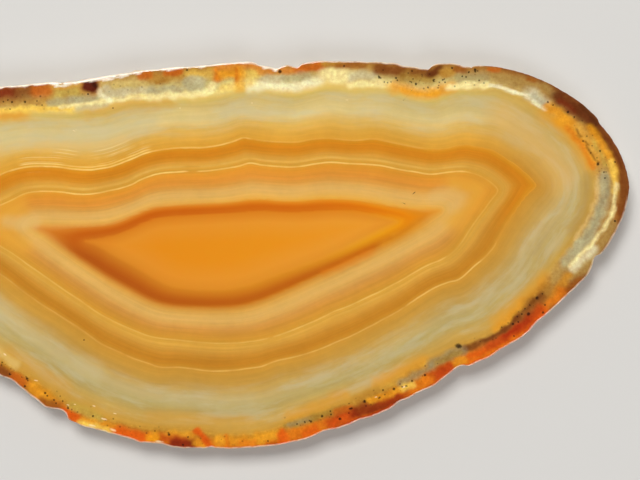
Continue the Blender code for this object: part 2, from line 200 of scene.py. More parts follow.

# Stains, and the upper edge's pale line with its painted highlight, laid over each other in this order. Each
# is a stroke: its colour, half width in pixels, softness, strength and the places that it runs through, in
# pixels.
STAIN_AND_HIGHLIGHT_STROKES = [
    # Wide soft tints of the bands and of the heart's ends.
    ("haze", 8, 1.0, 0.45, [(-70, 168), (-40, 158), (0, 141), (50, 137), (95, 139), (125, 130), (150, 122)]),
    ("pale_honey", 5, 0.9, 0.45, [(40, 146), (70, 147), (100, 147), (124, 141)]),
    ("haze", 8, 1.0, 0.40, [(-70, 290), (-40, 278), (-10, 300), (20, 325), (40, 340), (60, 353), (95, 372)]),
    ("haze", 7, 1.0, 0.25, [(80, 366), (110, 381), (140, 392), (175, 399), (215, 402), (250, 400)]),
    ("amber", 9, 1.0, 0.5, [(548, 115), (566, 128), (580, 145), (590, 163)]),
    ("shell", 14, 1.0, 0.50, [(503, 114), (530, 136), (550, 158), (562, 176)]),
    ("tip_honey", 9, 1.0, 0.75, [(455, 184), (478, 190), (470, 204), (455, 222)]),
    ("tip_honey", 9, 1.0, 0.75, [(18, 208), (-8, 220), (4, 233), (22, 246)]),
    ("pale_honey", 6, 1.0, 0.45, [(436, 196), (450, 193), (462, 198), (455, 206)]),
    ("pale_honey", 6, 1.0, 0.50, [(34, 222), (20, 223), (6, 221)]),
    ("orange", 4, 1.0, 0.45, [(325, 272), (350, 262), (372, 251)]),
    ("amber", 4, 1.0, 0.45, [(383, 244), (400, 234), (418, 225)]),
    ("tan", 5, 1.0, 0.45, [(588, 178), (587, 200), (581, 216), (573, 230)]),
    ("amber", 7, 0.9, 0.45, [(498, 320), (510, 311), (530, 293), (542, 279)]),
    ("amber", 5, 0.9, 0.5, [(376, 382), (398, 373), (424, 360)]),
    ("amber", 5, 0.9, 0.4, [(290, 417), (320, 405), (345, 394)]),
    ("honey", 6, 1.0, 0.45, [(88, 112), (108, 108), (125, 105), (150, 102.5), (170, 101)]),
    ("honey", 6, 1.0, 0.40, [(10, 352), (28, 362), (46, 374), (66, 386)]),
    ("honey", 5, 1.0, 0.40, [(150, 415), (180, 417), (215, 420), (250, 420)]),
    ("amber", 5, 1.0, 0.45, [(-10, 118), (10, 116), (25, 115)]),
    # The unseen left end.
    ("ochre", 7, 0.9, 0.7, [(-140, 190), (-112, 146), (-70, 118), (-30, 102)]),
    ("brown", 6, 0.75, 0.8, [(-137, 186), (-128, 165), (-114, 149)]),
    ("rust", 5, 0.75, 0.8, [(-104, 139), (-90, 129), (-78, 122)]),
    ("grey", 5, 0.75, 0.7, [(-70, 122), (-50, 112), (-34, 106)]),
    ("deep_red", 5, 0.75, 0.8, [(-40, 99), (-26, 95)]),
    ("cream", 3, 0.75, 0.8, [(-124, 180), (-108, 160), (-84, 141), (-56, 126), (-30, 116)]),
    ("orange", 6, 0.75, 0.8, [(-145, 215), (-141, 240), (-131, 258)]),
    ("brown", 5, 0.75, 0.8, [(-128, 264), (-114, 281), (-104, 291)]),
    ("vermilion", 5, 0.75, 0.8, [(-98, 297), (-84, 310), (-70, 320)]),
    ("grey", 4, 0.75, 0.7, [(-86, 300), (-62, 320), (-40, 334)]),
    ("dark_amber", 5, 0.75, 0.8, [(-60, 326), (-38, 342), (-22, 356)]),
    ("deep_red", 4, 0.75, 0.8, [(-34, 348), (-20, 360), (-10, 366)]),
    # The left part of the upper edge, with its maroon spot.
    ("olive", 9, 0.75, 0.7, [(54, 94), (66, 93), (84, 94)]),
    ("ochre", 6, 0.75, 0.8, [(-30, 104), (0, 103), (20, 103), (44, 102)]),
    ("grey", 3.8, 0.75, 0.7, [(52, 103), (64, 102), (78, 100)]),
    ("grey", 3.8, 0.75, 0.85, [(72, 100.5), (85, 99.5), (97, 98.5)]),
    ("deep_red", 6.5, 0.75, 0.92, [(-8, 93), (3, 93), (12, 92.5)]),
    ("brown", 6.5, 0.75, 0.88, [(20, 92), (31, 91)]),
    ("rust", 6.5, 0.75, 0.88, [(37, 91), (47, 91)]),
    ("amber", 5, 0.75, 0.5, [(-20, 118), (0, 115), (20, 114)]),
    ("straw", 3.0, 0.9, 0.95, [(-20, 113.5), (0, 111), (20, 109.5), (50, 108.3), (72, 108.6)]),
    ("pale_grey", 2.8, 1.0, 0.7, [(78, 108.5), (92, 107), (106, 104)]),
    ("cream", 1.9, 0.8, 0.9, [(60, 107.2), (78, 105.4), (92, 103), (106, 101), (130, 98.6), (150, 97.6)]),
    ("pale_cream", 2.6, 0.8, 0.8, [(99, 91), (103, 95), (109, 99.5)]),
    ("rust", 8.6, 0.52, 0.6, [(89, 85.5), (92, 86.5)]),
    ("maroon", 6.6, 0.38, 0.97, [(89, 85.5), (92, 86)]),
    ("black_brown", 2.2, 0.62, 0.7, [(93, 84.5), (95, 86)]),
    ("honey", 2.4, 0.75, 0.7, [(52, 86), (60, 87), (78, 84)]),
    # The middle of the upper edge.
    ("pale_olive", 4.6, 1.0, 0.55, [(104, 84), (120, 83.5), (140, 82)]),
    ("pale_grey", 4.2, 0.68, 0.85, [(107, 90), (113, 94), (122, 92.5)]),
    ("pale_grey", 3.6, 0.75, 0.75, [(124, 92), (138, 91), (152, 91)]),
    ("grey", 3.8, 0.68, 0.8, [(150, 91), (165, 90.5), (180, 90)]),
    ("ochre", 4, 0.75, 0.7, [(150, 78), (182, 76)]),
    ("rust", 3.2, 0.68, 0.9, [(140, 76), (151, 74.8)]),
    ("dark_ochre", 3, 0.9, 0.9, [(157, 81.5), (167, 80.5)]),
    ("rust", 3.4, 0.68, 0.95, [(166, 72.8), (180, 71.8)]),
    ("straw", 4, 0.9, 0.5, [(190, 74), (215, 73)]),
    ("cream", 3.2, 0.9, 0.95, [(150, 98), (165, 96), (185, 94.8), (203, 93)]),
    ("cream", 3.4, 0.6, 0.9, [(203, 93), (210, 91), (213, 85)]),
    ("grey", 7.4, 0.45, 0.9, [(190, 84), (198, 83.6)]),
    ("pale_grey", 3.4, 0.9, 0.5, [(193, 80), (202, 81)]),
    ("orange", 4.6, 0.85, 0.95, [(217, 70), (218, 76.5)]),
    ("amber", 4, 1.0, 0.8, [(222, 73), (234, 73)]),
    ("pale_orange", 4, 0.68, 0.9, [(220, 67.5), (240, 66), (258, 66)]),
    ("amber", 4.8, 0.75, 0.85, [(224, 73.5), (242, 73)]),
    ("amber", 5, 1.0, 0.8, [(238, 72), (239, 86)]),
    ("orange", 2, 0.62, 0.7, [(236, 70), (237, 84)]),
    ("straw", 5, 0.9, 0.6, [(248, 75), (256, 74)]),
    ("pale_orange", 4, 0.75, 0.8, [(259, 70), (271, 72)]),
    # Pale rind with a painted highlight on the upper edge.
    ("chalk_and_highlight", 1.8, 0.5, 0.9, [(266, 67.5), (277, 69)]),
    ("pale_orange", 4.2, 0.68, 0.9, [(281, 70.5), (298, 70)]),
    ("rust", 4.2, 0.68, 0.95, [(299, 69), (311, 68), (322, 66.5)]),
    ("pale_grey", 3.8, 0.68, 0.8, [(262, 79), (270, 78.8), (281, 79.3)]),
    ("grey", 4.2, 0.68, 0.7, [(286, 78.3), (297, 77.7), (307, 77)]),
    ("pale_cream", 4.2, 0.98, 0.85, [(250, 88), (268, 85.5), (285, 87), (300, 86), (320, 81)]),
    ("straw", 4, 0.9, 0.5, [(222, 88), (250, 84)]),
    ("cream", 5.6, 0.75, 0.8, [(324, 75), (338, 73)]),
    ("ochre", 2.8, 0.62, 0.85, [(324, 64.5), (340, 63.8)]),
    # The right part of the upper edge.
    ("dull_rust", 3.4, 0.75, 0.75, [(338, 65.5), (349, 65.5), (363, 65.5)]),
    ("cream", 6.2, 0.68, 0.9, [(335, 77), (349, 76.5)]),
    ("pale_grey", 4.8, 0.68, 0.8, [(353, 76), (361, 75.5), (372, 75.5)]),
    ("cream", 3, 0.9, 0.95, [(350, 85), (365, 84.3), (382, 84)]),
    ("brown", 6, 0.6, 0.95, [(378, 69), (390, 70.3), (401, 71)]),
    ("dark_olive", 5.6, 0.75, 0.7, [(403, 78), (415, 77), (430, 77)]),
    ("amber", 5.2, 0.9, 0.85, [(393, 87), (405, 89), (415, 92), (425, 93.5), (437, 92), (452, 86.5)]),
    ("gold", 2.6, 1.0, 0.7, [(402, 91), (414, 93.5), (425, 95), (440, 92.5)]),
    ("brown", 4.0, 0.75, 0.85, [(412, 71.5), (425, 72.5), (437, 72)]),
    ("dark_brown", 3, 0.68, 0.85, [(430, 75), (437, 72), (440, 67.5)]),
    ("ochre", 4.6, 0.75, 0.85, [(444, 74), (452, 71.5)]),
    ("dull_rust", 3.2, 0.68, 0.9, [(454, 69), (463, 70)]),
    ("rust", 2, 0.62, 0.8, [(489, 69), (498, 70)]),
    ("dark_grey", 5.2, 0.75, 0.5, [(460, 78), (470, 77.5), (484, 77.5)]),
    ("cream", 2.8, 0.75, 0.95, [(449, 87), (467, 85.8), (487, 85)]),
    ("tan", 5, 0.75, 0.8, [(496, 77), (515, 80), (536, 86)]),
    ("dull_rust", 2.2, 0.62, 0.9, [(528.5, 78), (534, 79.8)]),
    ("pale_grey", 6, 0.6, 0.9, [(529, 93), (536, 97), (544, 102.5)]),
    # A faint pale rind with a painted highlight.
    ("chalk_and_highlight", 3, 1.0, 0.2, [(532, 94), (541, 100), (547, 105)]),
    ("pale_cream", 1.8, 0.5, 0.9,
     [(490, 85), (502, 88), (512, 92), (525, 95), (533, 100.5), (541, 107.5), (546, 110)]),
    ("blue_grey", 3.2, 0.9, 0.75, [(535, 97), (546, 105)]),
    ("tan", 4.4, 0.75, 0.85, [(545, 88), (552, 94)]),
    # The right end.
    ("amber", 4.4, 0.75, 0.85, [(548, 107), (560, 113), (574, 123)]),
    ("amber", 6, 0.75, 0.9, [(560, 121), (570, 128), (579, 136), (587, 147), (594, 160)]),
    ("orange", 2.6, 0.62, 0.6, [(566, 128), (578, 140), (587, 155), (593, 167)]),
    ("dark_brown", 6.6, 0.75, 0.97,
     [(557, 97), (566, 101.5), (575, 108), (583, 114.5), (591, 122), (598, 130)]),
    ("deep_red", 3, 0.9, 0.5, [(560, 101), (573, 111)]),
    ("black_brown", 2.6, 0.75, 0.4, [(580, 106), (588, 113), (597, 123)]),
    ("honey", 4.8, 0.75, 0.85, [(580, 128), (590, 142), (599, 157)]),
    ("olive", 2, 0.62, 0.7, [(592, 138), (600, 151), (605, 165)]),
    ("dark_brown", 1, 0.62, 0.6, [(576, 130), (585, 143), (592, 154), (598, 163)]),
    ("brown", 4.4, 0.9, 0.95, [(603, 132), (610, 142), (616, 152), (621, 163), (624, 176), (625.5, 190)]),
    ("gold", 3.6, 0.9, 0.75, [(590, 128), (600, 141), (608, 155), (613, 168), (615.5, 180)]),
    ("dark_brown", 2.4, 0.62, 0.7, [(603, 134), (612, 147), (620, 163), (624, 180), (625, 196)]),
    ("straw", 3.2, 0.75, 0.8, [(610, 162), (614, 172), (615.5, 182), (615, 192)]),
    ("brown", 4.2, 0.68, 0.9, [(623, 172), (624, 186), (623, 200), (620, 213)]),
    ("grey", 5.6, 0.68, 0.9,
     [(604, 179), (604, 195), (601, 208), (597, 220), (592, 230), (584, 241), (574, 253)]),
    ("grey", 5, 0.75, 0.85, [(584, 241), (575, 252), (565, 263)]),
    ("dark_grey", 1.8, 1.0, 0.6, [(602, 200), (600, 209), (597, 220), (592, 229), (586, 238)]),
    ("dark_grey", 1.6, 0.75, 0.6, [(606, 176), (607, 188), (606, 198)]),
    ("pale_honey", 1.6, 0.9, 0.6, [(598, 176), (596, 196), (591, 211), (584, 226), (575, 240)]),
    ("tan", 5, 0.75, 0.85, [(612, 226), (604, 240), (595, 252), (586, 264)]),
    ("tan", 6.4, 0.75, 0.85, [(590, 262), (583, 268), (571, 277)]),
    ("cream", 1.9, 0.88, 0.9, [(616, 184), (615.5, 196), (613.5, 207), (611, 217), (604, 229), (596, 238)]),
    ("cream", 1.8, 1.0, 0.9, [(596, 238), (590, 246), (580, 256), (571, 267)]),
    ("pale_cream", 3.6, 1.0, 0.65, [(594, 249), (583, 260), (573, 269)]),
    ("dull_rust", 5, 0.75, 0.85, [(578, 282), (568, 290), (561, 297)]),
    ("dark_amber", 4.4, 0.75, 0.85, [(567, 276), (560, 286), (552, 296)]),
    # The right part of the lower edge.
    ("amber", 4.6, 0.9, 0.7, [(543, 285), (538, 292), (524, 305), (508, 320), (496, 330)]),
    ("orange", 5.5, 0.9, 0.95, [(560, 294), (550, 302), (541, 309)]),
    ("dark_ochre", 7, 0.9, 0.85, [(548, 289), (540, 297), (532, 304)]),
    ("vermilion", 7, 0.75, 0.95,
     [(541, 313), (528, 325), (518, 333), (508, 340), (497, 348), (484, 354), (471, 359)]),
    ("brick", 5, 1.0, 0.85, [(539, 308), (530, 317), (520, 326), (509, 333), (499, 340), (490, 346)]),
    ("crimson", 3.4, 1.0, 0.8, [(527, 320), (517, 328), (506, 335)]),
    ("brown", 4.6, 0.9, 0.72, [(541, 298), (533, 304), (526, 311), (519, 318)]),
    ("brown", 2.8, 0.75, 0.9, [(519, 318), (510, 325), (500, 333), (488, 339.5), (476, 344.5), (466, 348)]),
    ("dark_brown", 1.6, 0.88, 0.5, [(542, 294), (530, 304), (521, 314), (511, 324), (499, 333), (484, 341)]),
    ("orange", 2, 1.0, 0.6, [(522, 334), (507, 343.5), (492, 352), (476, 359), (464, 362)]),
    ("dark_grey", 4, 1.0, 0.85, [(462, 349.5), (452, 353.5), (443, 358), (431, 365)]),
    ("dark_olive", 2.6, 0.88, 0.7, [(461, 351.5), (450, 356), (437, 363)]),
    ("amber", 3.4, 0.9, 0.65, [(463, 361), (454, 364)]),
    ("brick", 5.8, 0.6, 0.95, [(449, 368), (440, 373), (431, 378)]),
    ("orange", 5, 0.68, 0.9, [(430, 379.5), (424, 383), (415, 389)]),
    ("dark_grey", 3.4, 0.9, 0.6, [(427, 369), (414, 376), (402, 383)]),
    # The middle of the lower edge.
    ("amber", 5.2, 0.75, 0.9, [(260, 438), (270, 436), (279, 434)]),
    ("orange", 6, 0.8, 0.92, [(289, 434), (305, 430.5), (328, 425)]),
    ("vermilion", 5.2, 0.6, 0.95, [(281.5, 434), (283.5, 442)]),
    ("vermilion", 4.6, 0.75, 0.8, [(306, 433.5), (315, 430.5)]),
    ("dark_olive", 3.6, 0.9, 0.8, [(286, 426.5), (300, 422.5), (314, 418.5)]),
    ("dark_grey", 2.6, 1.0, 0.5, [(290, 425), (300, 421.5), (310, 419)]),
    ("dark_olive", 3.4, 0.9, 0.8, [(312, 418), (325, 413.5), (344, 408.5)]),
    ("ochre", 5, 0.75, 0.8, [(354, 402), (365, 397.5), (376, 392)]),
    ("brick", 6.2, 0.9, 0.95, [(332, 423), (340, 419.5), (350, 414)]),
    ("vermilion", 3, 1.0, 0.6, [(334, 423), (346, 418)]),
    ("rust", 3, 0.75, 0.8, [(336, 411.5), (350, 408)]),
    ("deep_red", 6, 0.7, 0.85, [(357, 412), (370, 408.5), (381, 405), (391, 401), (398, 397.5)]),
    ("brick", 4, 1.0, 0.6, [(380, 400), (392, 396.5), (402, 392)]),
    ("brick", 1.6, 0.62, 0.8, [(345, 424), (362, 418), (379, 412.5), (392, 405.5)]),
    ("amber", 3, 0.75, 0.9, [(370, 400.5), (384, 396.5), (400, 390)]),
    ("straw", 3.2, 0.75, 0.85, [(403, 388.5), (412, 384.5)]),
    # The lowest stretch.
    ("vermilion", 5, 0.6, 0.95, [(68, 412), (75, 418)]),
    ("amber", 3.4, 0.9, 0.8, [(82, 420), (98, 423.5), (114, 428)]),
    ("straw", 2.8, 0.8, 0.9, [(80, 422.5), (92, 425.5), (106, 429.8), (116, 433)]),
    ("vermilion", 5.8, 0.6, 0.95, [(118, 431.5), (130, 435), (147, 439)]),
    ("gold", 4.4, 0.9, 0.92, [(150, 438), (157, 438), (166, 439)]),
    ("amber", 4, 0.9, 0.7, [(168, 435), (192, 435)]),
    ("brick", 5, 0.9, 0.85, [(163, 438), (172, 441), (182, 442)]),
    ("deep_red", 4.4, 0.9, 0.9, [(174, 442.5), (185, 444), (193, 444)]),
    ("amber", 4, 0.75, 0.9, [(197, 442), (203, 446)]),
    ("vermilion", 3.4, 0.6, 0.95, [(196, 431), (204, 439), (212, 447)]),
    ("amber", 5, 0.75, 0.85, [(218, 441), (245, 441), (260, 440)]),
    ("orange", 2.6, 0.62, 0.8, [(227, 437), (227, 446)]),
    ("orange", 3, 0.75, 0.8, [(240, 443.5), (254, 443)]),
    # The left part of the lower edge.
    ("brown", 4.4, 0.68, 0.9, [(-8, 367), (4, 372.5), (11, 377)]),
    ("rust", 5, 0.68, 0.9, [(14, 377), (19, 380.5), (26, 386)]),
    ("brown", 3, 0.75, 0.85, [(19, 387), (31, 392.5)]),
    ("amber", 6, 0.75, 0.88, [(32, 387), (39, 392), (48, 398.5)]),
    ("dull_rust", 4.2, 0.68, 0.92, [(42, 402), (49, 404.5), (57, 407)]),
    ("olive", 4.2, 0.75, 0.85, [(71, 404.5), (85, 411), (99, 417.5)]),
    ("dull_cream", 3.4, 1.0, 0.55, [(-4, 351), (6, 357.5), (16, 365)]),
    # The white line of the upper edge: partly the pale chalky rind, partly a painted highlight where the edge
    # catches the light.
    ("chalk_and_highlight", 1.3, 0.62, 0.9, [(0, 87), (16, 85.8), (33, 84.2)]),
    ("chalk_and_highlight", 2.2, 0.5, 0.95, [(35, 84), (47, 82.2), (57, 82.4)]),
    ("chalk_and_highlight", 1.1, 0.5, 0.85, [(55, 86.3), (66, 85.3)]),
    ("chalk_and_highlight", 2.1, 0.5, 0.95, [(66, 83.3), (74, 82.3), (83, 80.8)]),
    ("chalk_and_highlight", 1.9, 0.5, 0.95, [(82, 80.6), (98, 78.3), (114, 75.6)]),
    ("chalk_and_highlight", 1.0, 0.5, 0.8, [(104, 80.2), (120, 77), (139, 72.6)]),
    ("chalk_and_highlight", 1.2, 0.5, 0.9, [(114, 75.4), (140, 71), (172, 68.4)]),
    ("chalk_and_highlight", 1.2, 0.7, 0.85, [(172, 67.4), (200, 65.3), (222, 63.6), (240, 61.9), (254, 61.9)]),
    ("chalk_and_highlight", 0.9, 0.7, 0.7, [(254, 62), (260, 64.8), (268, 66.7), (277, 68.3), (284, 65.6), (290, 65)]),
]

# Where the very edge of the face gets a painted highlight, as where a chipped edge catches the light: half
# width, strength and places.
EDGE_HIGHLIGHTS = [
    (7, 0.9, [(0, 87), (60, 83), (115, 76), (172, 68.5), (222, 64.5), (255, 62)]),
    (7, 0.8, [(262, 65), (277, 68), (300, 65)]),
    (7, 0.7, [(302, 63), (330, 61), (360, 61.5), (384, 63), (402, 66), (430, 68), (445, 64), (476, 66)]),
    (7, 0.6, [(627, 205), (619, 226), (607, 246), (594, 258), (585, 278)]),
    (7, 0.7, [(576, 287), (553, 308), (529, 331), (515, 341)]),
    (6, 0.35, [(510, 344), (486, 358)]),
    (7, 0.7, [(475, 362), (455, 368), (431, 387), (405, 399)]),
    (7, 0.6, [(400, 401), (379, 413), (350, 423), (314, 435), (282, 444), (240, 447)]),
    (7, 0.6, [(240, 448), (205, 448), (161, 443), (118, 435), (84, 426)]),
    (7, 0.8, [(66, 413), (50, 408), (29, 393), (11, 379), (0, 375)]),
]

# Where the two fine growth lines shine: half width, strength and places along them.
SHINING_LINES = [
    (8, 0.50, [(-50, 205), (-28, 190), (0, 175), (17, 168.5)]),
    (8, 0.75, [(17, 168.5), (45, 166)]),
    (8, 1.00, [(50, 166), (75, 169), (102, 168), (124, 162), (145, 153.5)]),
    (8, 0.65, [(156, 150.5), (188, 148), (220, 145), (243, 138)]),
    (8, 0.22, [(262, 140.5), (297, 142), (334, 138.6), (373, 138.7), (417, 147.5)]),
    (7, 0.60, [(-12, 210), (8, 202), (32, 192), (60, 191.5)]),
    (7, 0.90, [(72, 193), (97, 193), (120, 188.5), (150, 176), (180, 172)]),
    (7, 0.75,
     [(205, 171), (238, 166), (262, 165), (292, 167), (330, 162), (382, 166), (430, 174), (462, 172)]),
    (7, 0.22, [(475, 174), (494, 185), (498, 191), (486, 207), (468, 232), (452, 253)]),
    (7, 0.45, [(440, 260), (414, 272), (384, 289), (350, 305), (315, 320), (280, 334)]),
    (7, 0.32, [(262, 340), (225, 343), (182, 340), (148, 336), (100, 314), (62, 288), (12, 253), (-14, 238)]),
    (7, 0.20, [(493, 248), (476, 264)]),
    (7, 0.55, [(476, 264.5), (459, 279), (438, 286), (412, 302)]),
    (7, 0.35, [(398, 311), (366, 328), (334, 343), (302, 355), (274, 361)]),
    (7, 0.42, [(262, 366), (230, 370), (195, 369), (172, 367)]),
    (7, 0.25, [(160, 367), (132, 358)]),
    (7, 0.18, [(116, 351), (88, 334), (56, 313), (20, 289), (-20, 260)]),
]

# The band of fine pale rippled lines at the upper left, a painted reflection on the polished face.
REFLECTED_RIPPLES = [
    (7, 0.9, [(28, 163), (60, 161)]),
    (11, 1.0, [(66, 158), (92, 158), (116, 153), (138, 144)]),
]

# Where the rim is peppered with fine dark grains: half width, strength and places.
GRAINY_PLACES = [
    (7, 0.9, [(-60, 110), (-30, 104), (0, 101), (25, 102), (45, 101)]),
    (6, 0.4, [(60, 95), (100, 90), (150, 84), (200, 80)]),
    (8, 1.0, [(378, 76), (400, 79), (425, 82), (445, 80), (484, 76)]),
    (7, 0.7, [(560, 104), (578, 122), (595, 145), (606, 170)]),
    (6, 0.9, [(545, 298), (530, 309), (515, 322), (500, 333), (480, 342)]),
    (6, 1.0, [(286, 424), (310, 419), (345, 410), (372, 398), (400, 385), (440, 364)]),
    (5, 0.5, [(196, 438), (235, 440), (270, 437)]),
    (7, 0.7, [(70, 406), (100, 418), (125, 426), (170, 437)]),
    (8, 1.0, [(-100, 290), (-60, 322), (-30, 348), (0, 367), (20, 380), (45, 395), (62, 404)]),
]

# The larger dark grains, and pits with painted shade in them, nearly all on the rim: right, down and radius,
# in pixels, and for a long one how many times longer than wide it is and its slope in degrees, clockwise.
DARK_SPECKS = [
    (8, 100, 1.1), (12, 102, 1.3), (25, 102, 1.4), (37, 101, 0.8), (10, 109, 0.8), (88, 94, 1.0),
    (113, 108, 0.8), (187, 70, 1.2), (280, 71.5, 2.0), (344, 66, 1.1), (379, 77, 1.2, 1.5, 80),
    (391, 82, 0.8), (396, 78, 1.3), (400, 80, 0.8), (412, 71, 1.0), (410, 81.5, 0.8), (416, 84, 1.3),
    (422, 76, 0.8), (428, 87.5, 1.1), (434, 80.5, 1.7), (439, 82, 1.2), (444, 79, 1.0), (452, 68, 1.2),
    (469, 72, 1.3), (475, 70.5, 1.6, 1.5, 80), (548, 102, 1.2), (553, 105, 1.0), (568, 112, 1.5),
    (574, 117, 1.3), (583, 141, 1.1), (591, 153, 1.0), (600, 151, 1.2), (598, 164, 1.8), (606, 165, 1.0),
    (615, 162, 1.0), (604, 172, 1.2), (605, 178, 1.0), (615, 221, 1.2), (458.6, 346, 2.6, 1.45, 8),
    (537, 298, 2.0), (542, 294, 1.1), (525, 309, 1.2), (522, 314, 1.2), (528.5, 314, 2.1), (530, 305, 0.9),
    (513, 324, 1.3), (518, 322, 1.1), (543, 312.5, 1.3), (545, 305, 1.0), (514, 336, 0.9), (425, 375, 1.5),
    (412, 381, 1.3), (406, 386, 1.0), (400, 384, 0.8), (394, 389, 1.5), (383, 390, 1.1), (364.5, 401.5, 1.8),
    (351, 408.5, 1.3, 1.8, -15), (340, 419, 1.6), (331, 414.5, 1.2), (322, 416, 1.4), (311, 421.5, 1.4),
    (305, 422, 1.2), (297, 424, 0.9), (268, 441, 0.9), (169, 434.5, 1.4), (188, 437, 1.0), (183, 445, 1.2),
    (93, 416, 1.2), (68, 408, 1.2), (45, 393, 1.4), (54, 400, 1.1), (27, 378.5, 1.6), (22, 377, 0.9),
    (25, 386, 1.3), (10, 374, 1.5), (14, 370.5, 0.9), (2, 365, 1.4), (6, 364, 0.9), (84, 340, 0.8),
    (404, 203, 0.45, 6, 30), (414, 193, 0.45, 4, -40),
]

# Painted glints: bright flecks, most of them where a chipped spot or a fold of the rim catches the light.
GLINT_SPECKS = [
    (104, 419, 0.9, 3.2, 15), (115, 413.5, 0.6, 3, 12), (94, 406, 0.7, 2.5, 20), (36, 380.5, 0.6, 4, 8),
    (68, 405, 0.7, 2, 20), (75, 404.5, 0.6, 2, 10), (5, 354.5, 0.8, 2.6, 40), (60, 411, 0.8, 3.0, 12),
    (159, 441.5, 1.0, 4, 5), (92, 425.5, 1.0, 4, 12), (113, 430, 1.3, 2.4, 20), (404, 387, 0.9, 2.4, -30),
    (376, 397, 0.6, 2.4, -18), (72, 131, 0.8), (76, 130, 0.6), (79.5, 131.5, 0.5), (75, 133.5, 0.5),
    (70, 128.5, 0.5), (180, 108, 0.6), (183, 110, 0.4), (252, 103, 0.6), (347, 100, 0.35, 5, 2),
    (519, 343, 0.7, 3, -30), (508, 348.5, 0.6, 3, -30),
]

# A place keeps its offset from a speck within this many radii, or this many pixels if that is more. It counts
# as far off where its distance to the nearest speck is over this share of that to the next.
SPECK_REACH = 2.5
LEAST_SPECK_REACH = 4.5
BETWEEN_SPECKS = 0.45
FAR_OFF = 9.0

# Each ramp is read from the middle outwards. Whole numbers are the growth lines. Like the colours above, the
# ramps carry a painted glow of light shining through.
INNER_UPPER = [
    (0.00, "E8921A"), (0.60, "E7962A"), (0.93, "DC831E"), (1.05, "D26C14"), (1.35, "D06610"),
    (1.50, "D36B11"), (1.68, "DA7A1B"), (1.85, "E08A27"), (1.96, "E69E3E"), (2.04, "E7AB4D"),
    (2.14, "E5B35B"), (2.28, "E1B161"), (2.40, "DFAB59"), (2.52, "DC9D45"), (2.65, "E0963A"),
    (2.85, "E39831"), (2.96, "E09C33"), (3.06, "DAA03B"), (3.22, "DDA543"), (3.34, "DBA040"),
    (3.46, "D7932D"), (3.62, "D58820"), (3.80, "D8891D"), (3.93, "DB9424"), (4.00, "E1A034"),
]
INNER_LOWER = [
    (0.00, "E8921A"), (0.60, "E7962A"), (0.93, "E09028"), (1.05, "D68422"), (1.30, "CD761C"),
    (1.50, "C46917"), (1.68, "BE5F14"), (1.85, "BE6114"), (1.95, "C87320"), (2.03, "D08830"),
    (2.12, "DBA147"), (2.25, "DFAE5B"), (2.38, "E0B160"), (2.50, "DCA856"), (2.62, "D59948"),
    (2.78, "D29439"), (2.96, "D69B37"), (3.05, "DAA442"), (3.20, "D9A241"), (3.32, "D69E40"),
    (3.46, "CF9234"), (3.62, "C8882A"), (3.80, "C88627"), (3.93, "CC8F2E"), (4.00, "D29737"),
]
OUTER_UPPER = [
    (4.00, "E3A63B"), (4.08, "E0A63E"), (4.20, "E1AD4A"), (4.33, "E1B65B"), (4.44, "E1C074"),
    (4.54, "DDC685"), (4.66, "D9C17F"), (4.80, "D2B76F"), (4.90, "D6B964"), (4.97, "E2C26C"),
    (5.04, "F2D784"), (5.16, "F5DF90"), (5.28, "DEC883"), (5.42, "CDB670"), (5.56, "C9AA5E"),
    (5.70, "C09347"), (5.85, "B38038"), (6.00, "A87435"),
]
OUTER_LOWER = [
    (4.00, "D2993A"), (4.08, "CD983B"), (4.22, "C99B46"), (4.35, "C8A357"), (4.46, "C7AB6B"),
    (4.58, "BFA96A"), (4.68, "BDA460"), (4.80, "C8A456"), (4.92, "CDA048"), (5.00, "CE9B3D"),
    (5.12, "C99537"), (5.28, "C3872C"), (5.42, "C88028"), (5.58, "D07B20"), (5.75, "CE6B17"),
    (5.90, "C96418"), (6.00, "C06420"),
]
OUTER_RIGHT = [
    (4.00, "CB8E2E"), (4.08, "CB943A"), (4.22, "C99A46"), (4.35, "CAA45A"), (4.48, "CAAD6D"),
    (4.60, "C4AA6E"), (4.72, "C3A968"), (4.86, "C6A558"), (4.97, "CDA34C"), (5.06, "CDA150"),
    (5.20, "C49C53"), (5.35, "B9924C"), (5.50, "B48A48"), (5.65, "B58640"), (5.80, "A5692A"),
    (5.92, "8E5220"), (6.00, "7E4A26"),
]

# How far the wall's foot stands out past the face's edge on the upper side: places along the slice, in pixels
# to the right, and depths in metres. The lumps and the grain are as large as the solid's, with a fine grain
# on top.
SWELL_PLACES = [-150, 0, 40, 85, 115, 155, 205, 300, 350, 640]
SWELL_DEPTHS = [0.00020, 0.00030, 0.00050, 0.00065, 0.00060, 0.00040, 0.00030, 0.00025, 0.00012, 0.00005]
SWELL_FULL_HEIGHT = 0.45
STAND_OUT = 0.0002
UNDERCUT_DEPTH = 0.0009
BACK_CURL_DEPTH = 0.0003
EDGE_BREAK = 0.00012
LUMP_SIZE = 0.0030
LUMP_DEPTH = 0.0011
GRAIN_SIZE = 0.0013
GRAIN_DEPTH = 0.0005
FINE_SIZE = 0.0006
FINE_DEPTH = 0.00025
ROUGHNESS_AT_EDGES = 0.15
FINE_AT_EDGES = 0.3

# Levels of the wall above this share of the thickness count as its top.
TOP_LEVEL_SHARE = 0.9

# How far noise moves the edges of the stains, and how large its waves are. It starts from a seed, so that
# each run gives the same result.
NOISE_SEED = 1
WARP_SIZE = 0.0014
WARP_DEPTH = 0.00030
FINE_WARP_SIZE = 0.0005
FINE_WARP_DEPTH = 0.00008
PATCH_SIZE = 0.0012
PATCH_DEPTH = 1.4
PATCH_LEVELS = [0.0, 0.1, 0.2, 0.3]
LOWEST_STAINED_BAND = 1.5

